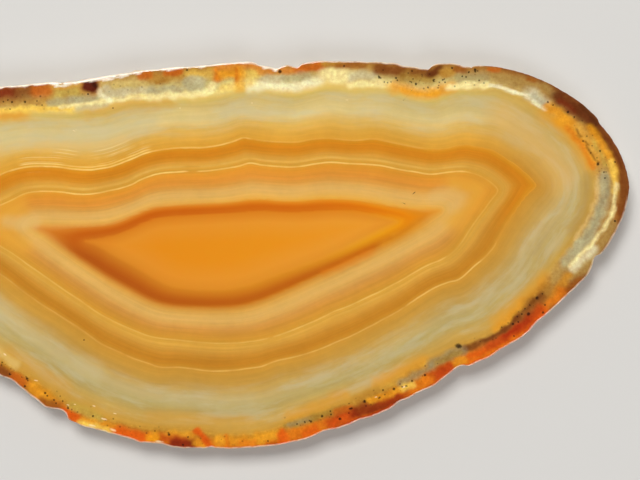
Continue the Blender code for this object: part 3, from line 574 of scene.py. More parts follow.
# The fine mesh: places round the outline, rings on each face and levels on the wall.
PLACES_ROUND = 1200
RIM_RINGS = 28
RIM_SHARE = 0.18
FACE_RINGS = 50
BACK_RING_STEP = 4
INNERMOST_SHARE = 0.985
INNER_SCALE = (0.20, 0.0)
WALL_SHARES = [0.97, 0.91, 0.84, 0.76, 0.68, 0.60, 0.52, 0.44, 0.36, 0.28, 0.20, 0.13, 0.07, 0.03]

# The line between the upper and the lower side, the softness of that change, and where the right end starts.
MIDDLE_LINE = [(100, 240), (520, 215)]
MIDDLE_SOFTNESS = 0.003
RIGHT_END_SPAN = [(440, 0), (560, 0)]

# How many places stand for a closed line when distances to it are taken, and how soft drawn lines are.
LOOP_PLACES = 4000
LINE_SOFTNESS = 0.5

# Tints that multiply the core's colour, and the X places between which they change: along the heart, along
# its dark edge, and at the edge's right tip, where the lower and the upper side differ.
HEART_TINTS = [(0.98, 0.95, 1.00, 1.0), (1.03, 1.10, 1.25, 1.0)]
HEART_TINT_SPAN = (-0.030, 0.030)
EDGE_TINTS = [(0.92, 0.86, 0.95, 1.0), (1.06, 1.18, 0.95, 1.0)]
EDGE_TINT_SPAN = (-0.028, 0.020)
TIP_TINTS = [(1.38, 2.00, 0.55, 1.0), (1.30, 1.72, 0.60, 1.0)]
TIP_TINT_SPAN = (0.010, 0.032)
OUTER_TIP_TINT = (1.03, 1.10, 0.90, 1.0)
OUTER_BANDS_START = 4.0

# Noises of the material: size in metres, detail and roughness. The size of the painted reflection's rippled
# lines is in pixels.
NOISES = {
    "growth": (0.0008, 3.0, 0.6),
    "clouds": (0.009, 3.0, 0.55),
    "wisps": (0.0014, 4.0, 0.65),
    "mist": (0.0020, 4.0, 0.6),
    "wave": (0.004, 2.0, 0.5),
    "reflected_ripples": (1.7, 0.0, 0.5),
    "reflection_ends": (0.0055, 2.0, 0.5),
    "breaks": (0.0045, 3.0, 0.6),
    "coarse_mottle": (0.0015, 3.0, 0.6),
    "fine_mottle": (0.0005, 3.0, 0.6),
    "glint_breaks": (0.0012, 3.0, 0.6),
    "speck_edges": (0.0003, 2.0, 0.5),
    "rind_blotches": (0.0030, 4.0, 0.6),
    "rind_grain": (0.0005, 5.0, 0.65),
}
GRAIN_SPACING = 0.0009

# How noises are drawn out along the bands, and how strongly each layer shows.
BAND_STEP = 0.010
GROWTH_STRETCH = 0.05
MIST_STRETCH = 0.22
REFLECTION_STRETCH = 60.0
LINE_WAVE = 1.6
SPECK_WAVE = 0.9
MIST_STRENGTH = 0.36
REFLECTION_STRENGTH = 0.55
COMPANION_STRENGTH = 0.35
GLINT_STRENGTH = 0.65
SPECK_STRENGTH = 0.88
GRAIN_STRENGTH = 0.75
BAND_COLOUR_IN_RIND = 0.2

# The stone's surface.
FACE_ROUGHNESS = 0.10
RIND_ROUGHNESS = 0.65
AGATE_IOR = 1.54
SUBSURFACE_WEIGHT = 0.35
SUBSURFACE_RADIUS = (1.0, 0.55, 0.25)
SUBSURFACE_SCALE = 0.0008
BUMP_STRENGTH = 0.6
BUMP_DISTANCE = 0.00015

# Floor, room and lights.
FLOOR_REACH = 3.0
FLOOR_COLOUR = (0.66, 0.65, 0.63, 1.0)
FLOOR_ROUGHNESS = 0.7
ROOM_COLOUR = (1.0, 0.99, 0.97, 1.0)
ROOM_ZENITH = 0.05
ROOM_HORIZON = 0.50
LIGHTS = {
    "key": {"place": (-0.25, 0.62, 1.25), "size": 0.55, "energy": 14.6, "colour": (1.0, 0.98, 0.95)},
    "fill": {"place": (0.45, -0.75, 1.15), "size": 0.80, "energy": 6.8, "colour": (0.97, 0.98, 1.0)},
}

# Layout of the picture: the camera looks straight down on the face, as the photograph looks at it.
PICTURE_WIDTH = 640
PICTURE_MIDDLE = (320, 240)
LENS = 120.0
SENSOR = 36.0


def linear(hex_colour):
    """Turn an sRGB hex colour into the linear values that nodes hold."""
    parts = [int(hex_colour[i:i + 2], 16) / 255.0 for i in (0, 2, 4)]
    return tuple(((p + 0.055) / 1.055) ** 2.4 if p > 0.04045 else p / 12.92 for p in parts) + (1.0,)


def named(colour):
    """The linear values of one of the stone's colours."""
    return linear(COLOURS[colour])


def to_metres(points):
    """Turn (right, down) places on the photograph into X and Y in the row frame."""
    places = np.array(points, dtype=float)
    x = (places[:, 0] - PHOTO_CENTRE[0]) * METRES_PER_PIXEL
    y = (PHOTO_CENTRE[1] - places[:, 1]) * METRES_PER_PIXEL
    return np.stack([x, y], axis=1)


def blend(low, high, value):
    """Rise smoothly from 0 to 1 while value goes from low to high."""
    share = np.clip((value - low) / (high - low), 0.0, 1.0)
    return share * share * (3.0 - 2.0 * share)


def smooth_loop(points, steps=12):
    """Draw a smooth closed curve through the points, with the same number of steps between each two."""
    knots = to_metres(points)
    before, after, beyond = np.roll(knots, 1, 0), np.roll(knots, -1, 0), np.roll(knots, -2, 0)
    pieces = []
    for t in np.arange(steps) / steps:
        pieces.append(0.5 * (
            2.0 * knots
            + (after - before) * t
            + (2.0 * before - 5.0 * knots + 4.0 * after - beyond) * t**2
            + (3.0 * knots - before - 3.0 * after + beyond) * t**3
        ))
    return np.stack(pieces, axis=1).reshape(-1, 2)


def even_loop(loop, count):
    """Place count points at even distances along a closed curve."""
    closed = np.vstack([loop, loop[:1]])
    lengths = np.concatenate([[0.0], np.cumsum(np.linalg.norm(np.diff(closed, axis=0), axis=1))])
    stations = np.arange(count) * lengths[-1] / count
    return np.stack([np.interp(stations, lengths, closed[:, axis]) for axis in (0, 1)], axis=1)


def distance_to_loop(places, loop):
    """Distance from each place to a closed curve."""
    dense = even_loop(loop, LOOP_PLACES)
    tree = kdtree.KDTree(len(dense))
    for index, (x, y) in enumerate(dense):
        tree.insert((x, y, 0.0), index)
    tree.balance()
    return np.array([tree.find((x, y, 0.0))[2] for x, y in places])


def inside_loop(places, loop):
    """Say for each place whether it is inside a closed curve."""
    result = np.zeros(len(places), dtype=bool)
    x, y = places[:, 0], places[:, 1]
    for (ax, ay), (bx, by) in zip(loop, np.roll(loop, -1, axis=0)):
        if ay != by:
            result ^= ((ay > y) != (by > y)) & (x < (bx - ax) * (y - ay) / (by - ay) + ax)
    return result


def growth_place(places):
    """Say where each place lies in the growth of the stone.

    The band is 1 on the core's edge and goes up by one with each growth line, to 6 on the silhouette. The
    gaps are the distances in pixels to the two fine growth lines, positive outside them.
    """
    loops = [smooth_loop(line) for line in GROWTH_LINES]
    distances = [distance_to_loop(places, loop) for loop in loops]
    inside = [inside_loop(places, loop) for loop in loops]
    band = np.full(len(places), float(len(loops)))
    band[inside[0]] = 1.0 - np.clip(distances[0][inside[0]] / HEART_DEPTH, 0.0, 1.0)
    for index in range(len(loops) - 1):
        here = ~inside[index] & inside[index + 1]
        inner, outer = distances[index][here], distances[index + 1][here]
        band[here] = index + 1 + inner / (inner + outer)
    gaps = [np.where(inside[index], -1.0, 1.0) * distances[index] / METRES_PER_PIXEL for index in FINE_LINES]
    return band, gaps


def distance_to_stroke(places, stroke):
    """Distance from each place to a stroke's line."""
    nearest = np.full(len(places), np.inf)
    for start, end in zip(stroke[:-1], stroke[1:]):
        run = end - start
        share = np.clip(((places - start) @ run) / (run @ run), 0.0, 1.0)
        nearest = np.minimum(nearest, np.linalg.norm(places - start - share[:, None] * run, axis=1))
    return nearest


def warped(places):
    """Move places a little by smooth noise, so that strokes drawn there get uneven edges."""
    shift = [
        WARP_DEPTH * np.array(noise.noise_vector(Vector((x, y, 0.0)) / WARP_SIZE))[:2]
        + FINE_WARP_DEPTH * np.array(noise.noise_vector(Vector((x, y, 0.0)) / FINE_WARP_SIZE))[:2]
        for x, y in places
    ]
    return places + np.array(shift)


def stroke_mask(places, half_width, softness, points, ragged=0.0):
    """1 in the middle of a stroke, falling to 0 round its edge, which ragged moves by so many pixels."""
    distance = distance_to_stroke(places, to_metres(points)) / METRES_PER_PIXEL + ragged
    return 1.0 - blend(1.0 - softness, 1.0 + softness, distance / half_width)


def strongest(places, strokes):
    """Give each place the strength of the strongest stroke over it."""
    result = np.zeros(len(places))
    for half_width, strength, points in strokes:
        result = np.maximum(result, strength * stroke_mask(places, half_width, LINE_SOFTNESS, points))
    return result


def stain_layer(places):
    """Lay the stains, and the painted highlight among them, over each other at each place: colour times
    cover, and cover.
    """
    layer = np.zeros((len(places), 4))
    at = warped(places)
    patches = [
        PATCH_DEPTH * np.array([noise.noise(Vector((x, y, level)) / PATCH_SIZE) for x, y in places])
        for level in PATCH_LEVELS
    ]
    for index, (colour, half_width, softness, strength, points) in enumerate(STAIN_AND_HIGHLIGHT_STROKES):
        ragged = patches[index % len(patches)]
        cover = strength * stroke_mask(at, half_width, softness, points, ragged)[:, None]
        layer = layer * (1.0 - cover) + np.array(named(colour)) * cover
    return layer


def speck_offsets(places, specks):
    """Offset of each place from the one speck that it is near, in radii, or else a far-off one."""
    offsets = np.tile([0.0, 0.0, FAR_OFF], (len(places), 1))
    nearest = np.full(len(places), np.inf)
    runner_up = np.full(len(places), np.inf)
    for right, down, radius, *rest in specks:
        stretch, slope = rest if rest else (1.0, 0.0)
        slope = -np.radians(slope)
        turn = np.array([[np.cos(slope), -np.sin(slope)], [np.sin(slope), np.cos(slope)]])
        offset = (places - to_metres([(right, down)])) @ turn / (radius * METRES_PER_PIXEL)
        offset[:, 0] /= stretch
        distance = np.linalg.norm(offset, axis=1)
        closer = distance < nearest
        runner_up = np.where(closer, nearest, np.minimum(runner_up, distance))
        nearest = np.where(closer, distance, nearest)
        here = closer & (distance < max(LEAST_SPECK_REACH / radius, SPECK_REACH))
        offsets[here] = np.column_stack([offset[here], np.zeros(np.count_nonzero(here))])
    offsets[nearest > BETWEEN_SPECKS * runner_up, 2] = FAR_OFF
    return offsets


def outward(places):
    """Point away from the slice's middle line, square to an ellipse that fits its length and width."""
    half_length = SLICE_LENGTH / 2.0
    half_width = half_length / 2.0
    direction = places / np.array([half_length**2, half_width**2])
    return direction / np.linalg.norm(direction, axis=1)[:, None]


def field(places, height, size):
    """Smooth noise from 0 to 1 at places on the wall."""
    return np.array([0.5 + 0.5 * noise.noise(Vector((x, y, height)) / size) for x, y in places])


def swell_of(places):
    """How far the wall's foot stands out past the face's edge, which it does on the upper side."""
    swell_places = to_metres([(right, 0.0) for right in SWELL_PLACES])[:, 0]
    return np.interp(places[:, 0], swell_places, SWELL_DEPTHS) * np.maximum(outward(places)[:, 1], 0.0)


def wall_depth(places, share):
    """How far the wall stands back from the silhouette at one share of the thickness."""
    direction = outward(places)
    upper_side = np.maximum(direction[:, 1], 0.0)
    lower_side = np.maximum(-direction[:, 1], 0.0)
    depth = swell_of(places) * blend(SWELL_FULL_HEIGHT, 1.0, share)
    depth += BACK_CURL_DEPTH * upper_side * (1.0 - blend(0.0, SWELL_FULL_HEIGHT, share))
    depth += UNDERCUT_DEPTH * lower_side * (1.0 - blend(0.0, 1.0, share))
    height = share * THICKNESS
    weight = ROUGHNESS_AT_EDGES + (1.0 - ROUGHNESS_AT_EDGES) * 4.0 * share * (1.0 - share)
    depth += LUMP_DEPTH * weight * field(places, height, LUMP_SIZE) ** 2
    depth += GRAIN_DEPTH * weight * field(places, height, GRAIN_SIZE) ** 2
    fine_weight = FINE_AT_EDGES + (1.0 - FINE_AT_EDGES) * weight
    depth += FINE_DEPTH * fine_weight * field(places, height, FINE_SIZE) ** 2
    return depth


def face_rings(edge, height_share, shares):
    """Rings of one face, from the edge inwards, with the edge drawn in by as much as the wall leans."""
    recess = (wall_depth(edge, height_share) + EDGE_BREAK)[:, None] * outward(edge)
    rings = []
    for share in shares:
        nominal = edge * (1.0 - share * (1.0 - np.array(INNER_SCALE)))
        fade = 1.0 - blend(0.0, 2.0 * RIM_SHARE, share)
        rings.append((nominal - recess * fade, BACK_Z + height_share * THICKNESS, nominal, 0.0))
    return rings


def slice_rings():
    """Lay out the rings of the fine mesh, from the middle of the face over the wall to that of the back.

    Each ring has its places, its height, its places before the wall's lean moved them, and 1 if it is wall.
    """
    edge = even_loop(smooth_loop(OUTLINE), PLACES_ROUND)
    edge += (STAND_OUT + 0.5 * swell_of(edge))[:, None] * outward(edge)
    coarse = edge[::2]
    rim_shares = np.linspace(0.0, RIM_SHARE, RIM_RINGS)
    inner_shares = np.linspace(RIM_SHARE, INNERMOST_SHARE, FACE_RINGS)[1:]
    rings = face_rings(coarse, 1.0, inner_shares)[::-1] + face_rings(edge, 1.0, rim_shares)[::-1]
    for share in WALL_SHARES:
        places = edge - outward(edge) * wall_depth(edge, share)[:, None]
        rings.append((places, BACK_Z + share * THICKNESS, edge, 1.0))
    rings += face_rings(edge, 0.0, rim_shares[::BACK_RING_STEP])
    return rings + face_rings(coarse, 0.0, inner_shares[::BACK_RING_STEP])


def arc_of_ring(first, count, step, steps):
    """The points of a ring, counted on from first, that one of the equal steps round it covers."""
    start, end = step * count // steps, (step + 1) * count // steps
    return [first + index % count for index in range(start, end + 1)]


def ring_faces(rings):
    """Join each ring to the next one, also where the next has twice or half as many places."""
    faces = []
    first = 0
    for ring, after in zip(rings[:-1], rings[1:]):
        count, count_after = len(ring[0]), len(after[0])
        second = first + count
        steps = min(count, count_after)
        for step in range(steps):
            here = arc_of_ring(first, count, step, steps)
            there = arc_of_ring(second, count_after, step, steps)
            faces.append(here + there[::-1])
        first = second
    innermost = len(rings[0][0])
    last = len(rings[-1][0])
    return [list(range(innermost - 1, -1, -1))] + faces + [[first + index for index in range(last)]]


def slice_mesh():
    """Build the fine slice and store on its points what its material reads."""
    rings = slice_rings()
    vertices = [(x, y, height) for places, height, _, _ in rings for x, y in places]
    mesh = bpy.data.meshes.new("agate_slice_look")
    mesh.from_pydata(vertices, [], ring_faces(rings))
    mesh.polygons.foreach_set("use_smooth", [True] * len(mesh.polygons))

    where = np.vstack([places if height == FACE_Z else nominal for places, height, nominal, _ in rings])
    band, (inner_gap, outer_gap) = growth_place(where)
    stained = band > LOWEST_STAINED_BAND
    stains = np.zeros((len(where), 4))
    stains[stained] = stain_layer(where[stained])
    numbers = {
        "band": band,
        "inner_gap": inner_gap,
        "outer_gap": outer_gap,
        "shine": strongest(where, SHINING_LINES),
        # Where the painted reflection lies.
        "reflected_ripples": strongest(where, REFLECTED_RIPPLES),
        "grainy": strongest(where, GRAINY_PLACES),
        # A painted highlight along the face's edge.
        "edge_highlight": strongest(where, EDGE_HIGHLIGHTS) * edge_closeness(rings),
        "wall": np.concatenate([np.full(len(ring[0]), ring[3]) for ring in rings]),
        "upper": upper_share(where),
        "right": right_share(where),
        "stain_cover": stains[:, 3],
    }
    for name, values in numbers.items():
        store(mesh, name, "FLOAT", values)
    store(mesh, "stains", "FLOAT_COLOR", stains)
    store(mesh, "dark_speck", "FLOAT_VECTOR", speck_offsets(where, DARK_SPECKS))
    # Painted glints.
    store(mesh, "glint_speck", "FLOAT_VECTOR", speck_offsets(where, GLINT_SPECKS))
    return mesh


def edge_closeness(rings):
    """1 on the outermost ring of the upper face and on the wall's top level, 0 elsewhere."""
    parts = []
    for ring, after in zip(rings, rings[1:] + rings[-1:]):
        outermost = ring[1] == FACE_Z and after[3] == 1.0
        top_of_wall = ring[3] == 1.0 and ring[1] > BACK_Z + TOP_LEVEL_SHARE * THICKNESS
        parts.append(np.full(len(ring[0]), 1.0 if outermost or top_of_wall else 0.0))
    return np.concatenate(parts)


def store(mesh, name, kind, values):
    """Keep one value for each point of the mesh."""
    attribute = mesh.attributes.new(name, kind, "POINT")
    field_name = {"FLOAT": "value", "FLOAT_VECTOR": "vector", "FLOAT_COLOR": "color"}[kind]
    attribute.data.foreach_set(field_name, np.ravel(values))


def upper_share(where):
    """1 on the upper side of the middle line, 0 on the lower side, and a soft change between them."""
    middle = to_metres(MIDDLE_LINE)
    slope = (middle[1, 1] - middle[0, 1]) / (middle[1, 0] - middle[0, 0])
    above = where[:, 1] - middle[0, 1] - slope * (where[:, 0] - middle[0, 0])
    return blend(-MIDDLE_SOFTNESS, MIDDLE_SOFTNESS, above)


def right_share(where):
    """1 at the blunt right end, 0 left of it."""
    return blend(*to_metres(RIGHT_END_SPAN)[:, 0], where[:, 0])


class Graph:
    """Adds linked nodes to one material's tree."""

    def __init__(self, material):
        material.use_nodes = True
        self.tree = material.node_tree
        self.shader = self.tree.nodes["Principled BSDF"]

    def plug(self, value, socket):
        if isinstance(value, bpy.types.NodeSocket):
            self.tree.links.new(value, socket)
        else:
            socket.default_value = value

    def add(self, kind, **settings):
        node = self.tree.nodes.new(kind)
        for name, value in settings.items():
            setattr(node, name, value)
        return node

    def attribute(self, name, output="Fac"):
        return self.add("ShaderNodeAttribute", attribute_name=name).outputs[output]

    def position(self):
        return self.add("ShaderNodeTexCoord").outputs["Object"]

    def math(self, operation, first, second=0.0, clamp=False):
        node = self.add("ShaderNodeMath", operation=operation, use_clamp=clamp)
        self.plug(first, node.inputs[0])
        self.plug(second, node.inputs[1])
        return node.outputs[0]

    def vector(self, operation, first, second=(0.0, 0.0, 0.0)):
        node = self.add("ShaderNodeVectorMath", operation=operation)
        self.plug(first, node.inputs[0])
        self.plug(second, node.inputs[1])
        return node.outputs["Value" if operation == "LENGTH" else "Vector"]

    def combine(self, x, y, z):
        node = self.add("ShaderNodeCombineXYZ")
        for value, socket in zip((x, y, z), node.inputs):
            self.plug(value, socket)
        return node.outputs[0]

    def separate(self, value):
        node = self.add("ShaderNodeSeparateXYZ")
        self.plug(value, node.inputs[0])
        return node.outputs

    def times(self, *values):
        """Multiply the values with each other."""
        product = values[0]
        for value in values[1:]:
            product = self.math("MULTIPLY", product, value)
        return product

    def rest_of(self, value):
        """What a share leaves of 1."""
        return self.math("SUBTRACT", 1.0, value)

    def eased(self, factor, amount):
        """Bring a factor nearer to 1, the smaller the amount is."""
        return self.math("ADD", 1.0, self.times(self.math("SUBTRACT", factor, 1.0), amount))

    def noise(self, place, name):
        """One of the material's noises, from 0 to 1."""
        size, detail, roughness = NOISES[name]
        node = self.add("ShaderNodeTexNoise")
        self.plug(place, node.inputs["Vector"])
        node.inputs["Scale"].default_value = 1.0 / size
        node.inputs["Detail"].default_value = detail
        node.inputs["Roughness"].default_value = roughness
        return node.outputs["Fac"]

    def cells(self, place, size):
        """Distance to the nearest of points scattered about size apart, as a share of size."""
        node = self.add("ShaderNodeTexVoronoi")
        self.plug(place, node.inputs["Vector"])
        node.inputs["Scale"].default_value = 1.0 / size
        return node.outputs["Distance"]

    def spread(self, value, low, high, to_low=0.0, to_high=1.0, smooth=True):
        node = self.add("ShaderNodeMapRange", interpolation_type="SMOOTHSTEP" if smooth else "LINEAR")
        for number, socket in zip((value, low, high, to_low, to_high), node.inputs):
            self.plug(number, socket)
        return node.outputs[0]

    def ramp(self, value, stops):
        """Colour by value, with the stops spread over the range that they cover."""
        low, high = stops[0][0], stops[-1][0]
        node = self.add("ShaderNodeValToRGB")
        self.plug(self.spread(value, low, high, smooth=False), node.inputs[0])
        elements = node.color_ramp.elements
        while len(elements) < len(stops):
            elements.new(1.0)
        for element, (place, colour) in zip(elements, stops):
            element.position = (place - low) / (high - low)
            element.color = linear(colour)
        return node.outputs["Color"]

    def mix(self, factor, first, second, kind="MIX"):
        node = self.add("ShaderNodeMix", data_type="RGBA", blend_type=kind)
        self.plug(factor, node.inputs[0])
        self.plug(first, node.inputs[6])
        self.plug(second, node.inputs[7])
        return node.outputs[2]


def ramped_colour(graph, band, upper):
    """The growth bands' colours, which differ on the upper side, the lower side and the right end."""
    inner = graph.mix(upper, graph.ramp(band, INNER_LOWER), graph.ramp(band, INNER_UPPER))
    outer = graph.mix(upper, graph.ramp(band, OUTER_LOWER), graph.ramp(band, OUTER_UPPER))
    outer = graph.mix(graph.attribute("right"), outer, graph.ramp(band, OUTER_RIGHT))
    return graph.mix(graph.math("GREATER_THAN", band, OUTER_BANDS_START), inner, outer)


def tinted_core(graph, colour, band, upper, x):
    """Tint the heart and its dark edge, differently along the slice."""
    core = graph.rest_of(graph.spread(band, 1.9, 2.15))
    heart = graph.rest_of(graph.spread(band, 0.80, 1.15))
    edge_tint = graph.mix(graph.spread(x, *EDGE_TINT_SPAN), *EDGE_TINTS)
    tip_tint = graph.mix(upper, *TIP_TINTS)
    tip_tint = graph.mix(graph.spread(band, 1.5, 1.95), tip_tint, OUTER_TIP_TINT)
    edge_tint = graph.mix(graph.spread(x, *TIP_TINT_SPAN), edge_tint, tip_tint)
    heart_tint = graph.mix(graph.spread(x, *HEART_TINT_SPAN), *HEART_TINTS)
    core_tint = graph.mix(heart, edge_tint, heart_tint)
    return graph.mix(core, colour, graph.mix(1.0, colour, core_tint, "MULTIPLY"))


def textured(graph, colour, band, place, x, y):
    """Shade the stone outside the core with fine lines along the bands, clouds and wisps."""
    growth_at = graph.combine(
        graph.times(band, BAND_STEP), graph.times(x, GROWTH_STRETCH), graph.times(y, GROWTH_STRETCH)
    )
    growth = graph.spread(graph.noise(growth_at, "growth"), 0.25, 0.75, 0.92, 1.07, smooth=False)
    clouds = graph.spread(graph.noise(place, "clouds"), 0.3, 0.7, 0.95, 1.05, smooth=False)
    wisps = graph.spread(graph.noise(place, "wisps"), 0.3, 0.7, 0.972, 1.028, smooth=False)
    shade = graph.eased(graph.times(growth, clouds, wisps), graph.spread(band, 1.9, 2.2))
    return graph.mix(1.0, colour, graph.combine(shade, shade, shade), "MULTIPLY")


def misted(graph, colour, band, x, y):
    """Lay a grey mist, drawn out along the bands, over the zone inside the rim."""
    across = graph.times(graph.attribute("outer_gap"), METRES_PER_PIXEL)
    mist_at = graph.combine(across, graph.times(x, MIST_STRETCH), graph.times(y, MIST_STRETCH))
    mist = graph.spread(graph.noise(mist_at, "mist"), 0.42, 0.66)
    zone = graph.times(graph.spread(band, 4.15, 4.45), graph.rest_of(graph.spread(band, 4.80, 4.98)))
    return graph.mix(graph.times(mist, zone, MIST_STRENGTH), colour, named("mist"))


def thin_line(graph, gap, place, half_width):
    """A fine line at one distance from a growth line, in pixels."""
    off = graph.math("ABSOLUTE", graph.math("SUBTRACT", gap, place))
    return graph.rest_of(graph.spread(off, 0.15 * half_width, half_width))


def lined(graph, colour, place, x):
    """Draw the painted reflection of pale rippled lines at the upper left and the growth lines that shine."""
    wave = graph.times(graph.math("SUBTRACT", graph.noise(place, "wave"), 0.5), LINE_WAVE)
    inner_gap = graph.math("ADD", graph.attribute("inner_gap"), wave)
    outer_gap = graph.math("ADD", graph.attribute("outer_gap"), wave)
    # A painted reflection: pale rippled lines at the upper left.
    reflected_ripples = graph.attribute("reflected_ripples")
    reflection_at = graph.combine(outer_gap, graph.times(x, REFLECTION_STRETCH), 0.0)
    reflection_lines = graph.spread(graph.noise(reflection_at, "reflected_ripples"), 0.52, 0.70)
    reflection_ends = graph.spread(graph.noise(place, "reflection_ends"), 0.34, 0.60)
    pale = graph.times(reflection_lines, reflected_ripples, reflection_ends, REFLECTION_STRENGTH)
    colour = graph.mix(pale, colour, named("reflection"))

    first = thin_line(graph, inner_gap, 0.0, 1.25)
    second = thin_line(graph, outer_gap, 0.0, 1.25)
    # The third line shows only within the painted reflection.
    third = graph.times(thin_line(graph, outer_gap, 2.7, 1.1), reflected_ripples)
    companion = graph.times(thin_line(graph, inner_gap, 5.0, 2.0), COMPANION_STRENGTH)
    main_lines = graph.math("MAXIMUM", first, second)
    side_lines = graph.math("MAXIMUM", third, companion)
    lines = graph.math("MAXIMUM", main_lines, side_lines)
    broken = graph.spread(graph.noise(place, "breaks"), 0.30, 0.65, 0.35, 0.90)
    return graph.mix(graph.times(lines, graph.attribute("shine"), broken), colour, named("shine"))


def banded_colour(graph, band, place):
    """The stone's growth bands, with fine lines and slow changes along them."""
    upper = graph.attribute("upper")
    x, y, _ = graph.separate(place)
    colour = ramped_colour(graph, band, upper)
    colour = tinted_core(graph, colour, band, upper, x)
    colour = textured(graph, colour, band, place, x, y)
    colour = misted(graph, colour, band, x, y)
    return lined(graph, colour, place, x)


def toned(graph, colour, shade, amount):
    """Darken or lighten by shade, more in green and blue, so that dark places turn redder."""
    shade = graph.eased(shade, amount)
    powers = [graph.math("POWER", shade, power) for power in (0.8, 1.25, 1.5)]
    return graph.mix(1.0, colour, graph.combine(*powers), "MULTIPLY")


def rim_colour(graph, colour, band, place):
    """Stains, mottling, dark specks and fine grains of the rim, with painted glints and a painted highlight
    along the face's edge, over the bands.
    """
    # The stains, with the painted highlight of the upper edge among them.
    left_bare = graph.rest_of(graph.attribute("stain_cover"))
    bare = graph.mix(1.0, colour, graph.combine(left_bare, left_bare, left_bare), "MULTIPLY")
    colour = graph.mix(1.0, bare, graph.attribute("stains", "Color"), "ADD")
    coarse = graph.spread(graph.noise(place, "coarse_mottle"), 0.3, 0.7, 0.86, 1.14, smooth=False)
    fine = graph.spread(graph.noise(place, "fine_mottle"), 0.3, 0.7, 0.88, 1.10, smooth=False)
    colour = toned(graph, colour, graph.times(coarse, fine), graph.spread(band, 4.90, 5.15))

    # Painted glints on the rim and the face.
    glints = speck_cover(graph, "glint_speck", place, GLINT_STRENGTH)
    colour = graph.mix(glints, colour, named("glint"))
    specks = speck_cover(graph, "dark_speck", place, SPECK_STRENGTH)
    colour = graph.mix(specks, colour, named("speck"))
    grains = graph.rest_of(graph.spread(graph.cells(place, GRAIN_SPACING), 0.11, 0.22))
    grains = graph.times(grains, graph.attribute("grainy"), GRAIN_STRENGTH)
    colour = graph.mix(grains, colour, named("speck"))
    # A painted highlight along the face's edge, broken by noise.
    glint_breaks = graph.spread(graph.noise(place, "glint_breaks"), 0.35, 0.55, 0.45, 1.0)
    return graph.mix(graph.times(graph.attribute("edge_highlight"), glint_breaks), colour, named("edge_glint"))


def speck_cover(graph, name, place, strength):
    """How much of the specks' colour shows."""
    offset = graph.vector("LENGTH", graph.attribute(name, "Vector"))
    ragged = graph.times(graph.math("SUBTRACT", graph.noise(place, "speck_edges"), 0.5), SPECK_WAVE)
    shown = graph.rest_of(graph.spread(graph.math("ADD", offset, ragged), 0.40, 1.30))
    return graph.times(shown, strength)


def rind_colour(graph, place):
    """The chalky rind of the wall, darker and browner on the lower side."""
    blotches = graph.spread(graph.noise(place, "rind_blotches"), 0.35, 0.65)
    pale = graph.mix(blotches, named("rind_white"), named("rind_cream"))
    dull = graph.mix(blotches, named("rind_buff"), named("rind_brown"))
    return graph.mix(graph.attribute("upper"), dull, pale)


def agate_material():
    """The stone's whole surface: polished faces and rough rind."""
    material = bpy.data.materials.new("agate")
    graph = Graph(material)
    place = graph.position()
    band = graph.attribute("band")
    wall = graph.attribute("wall")
    colour = rim_colour(graph, banded_colour(graph, band, place), band, place)
    rind = graph.mix(BAND_COLOUR_IN_RIND, rind_colour(graph, place), colour)
    colour = graph.mix(graph.spread(wall, 0.2, 0.8), colour, rind)
    sockets = graph.shader.inputs
    graph.plug(colour, sockets["Base Color"])
    roughness = graph.spread(wall, 0.0, 1.0, FACE_ROUGHNESS, RIND_ROUGHNESS, smooth=False)
    graph.plug(roughness, sockets["Roughness"])
    sockets["IOR"].default_value = AGATE_IOR
    sockets["Subsurface Weight"].default_value = SUBSURFACE_WEIGHT
    sockets["Subsurface Radius"].default_value = SUBSURFACE_RADIUS
    sockets["Subsurface Scale"].default_value = SUBSURFACE_SCALE
    bump = graph.add("ShaderNodeBump")
    bump.inputs["Strength"].default_value = BUMP_STRENGTH
    bump.inputs["Distance"].default_value = BUMP_DISTANCE
    graph.plug(graph.times(graph.noise(place, "rind_grain"), wall), bump.inputs["Height"])
    graph.plug(bump.outputs[0], sockets["Normal"])
    return material


def make_slice():
    """The fine slice stands for the solid one."""
    piece = bpy.data.objects.new("agate_slice_look", slice_mesh())
    bpy.context.scene.collection.objects.link(piece)
    piece.data.materials.append(agate_material())
    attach(piece, "root")
    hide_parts("agate_slice")
    return piece


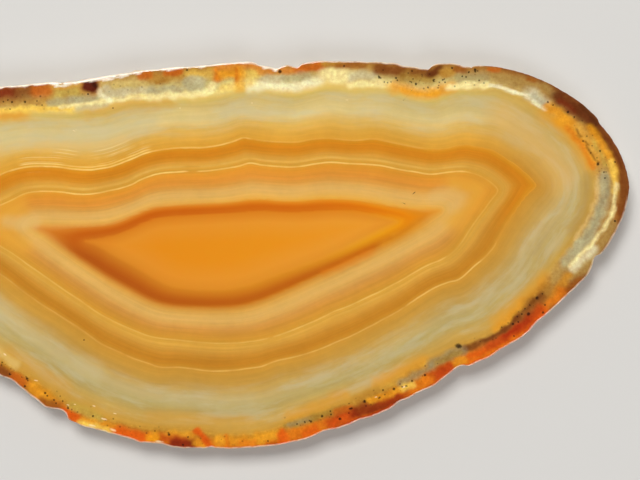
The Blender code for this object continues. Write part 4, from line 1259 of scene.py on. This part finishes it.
def make_floor():
    """A plain pale floor under the slice."""
    mesh = bpy.data.meshes.new("floor")
    corners = [(FLOOR_REACH * x, FLOOR_REACH * y, 0) for x, y in [(-1, -1), (1, -1), (1, 1), (-1, 1)]]
    mesh.from_pydata(corners, [], [(0, 1, 2, 3)])
    floor = bpy.data.objects.new("floor", mesh)
    bpy.context.scene.collection.objects.link(floor)
    material = bpy.data.materials.new("floor")
    material.use_nodes = True
    shader = material.node_tree.nodes["Principled BSDF"]
    shader.inputs["Base Color"].default_value = FLOOR_COLOUR
    shader.inputs["Roughness"].default_value = FLOOR_ROUGHNESS
    mesh.materials.append(material)


def make_light(name, place, size, energy, colour):
    """A soft square light that points at the slice."""
    data = bpy.data.lights.new(name, "AREA")
    data.size = size
    data.energy = energy
    data.color = colour
    light = bpy.data.objects.new(name, data)
    light.location = place
    light.rotation_euler = (-Vector(place)).to_track_quat("-Z", "Y").to_euler()
    bpy.context.scene.collection.objects.link(light)


def make_world(zenith, horizon):
    """A pale room that is brighter low down than overhead, so that the polished face mirrors little of it."""
    world = bpy.data.worlds.new("room")
    world.use_nodes = True
    tree = world.node_tree
    direction = tree.nodes.new("ShaderNodeTexCoord")
    parts = tree.nodes.new("ShaderNodeSeparateXYZ")
    level = tree.nodes.new("ShaderNodeMapRange")
    tree.links.new(direction.outputs["Generated"], parts.inputs[0])
    tree.links.new(parts.outputs["Z"], level.inputs["Value"])
    level.inputs["To Min"].default_value = horizon
    level.inputs["To Max"].default_value = zenith
    background = tree.nodes["Background"]
    background.inputs["Color"].default_value = ROOM_COLOUR
    tree.links.new(level.outputs[0], background.inputs["Strength"])
    bpy.context.scene.world = world


def make_camera():
    """Look straight down on the face from above the middle of the photograph."""
    data = bpy.data.cameras.new("camera")
    data.lens = LENS
    data.sensor_width = SENSOR
    data.clip_start = 0.01
    camera = bpy.data.objects.new("camera", data)
    x, y = to_metres([PICTURE_MIDDLE])[0]
    camera.location = (x, y, FACE_Z + PICTURE_WIDTH * METRES_PER_PIXEL * LENS / SENSOR)
    bpy.context.scene.collection.objects.link(camera)
    bpy.context.scene.camera = camera


noise.seed_set(NOISE_SEED)
make_slice()
make_floor()
make_world(ROOM_ZENITH, ROOM_HORIZON)
for light_name, light in LIGHTS.items():
    make_light(light_name, **light)
make_camera()
bpy.context.scene.view_settings.view_transform = "Standard"
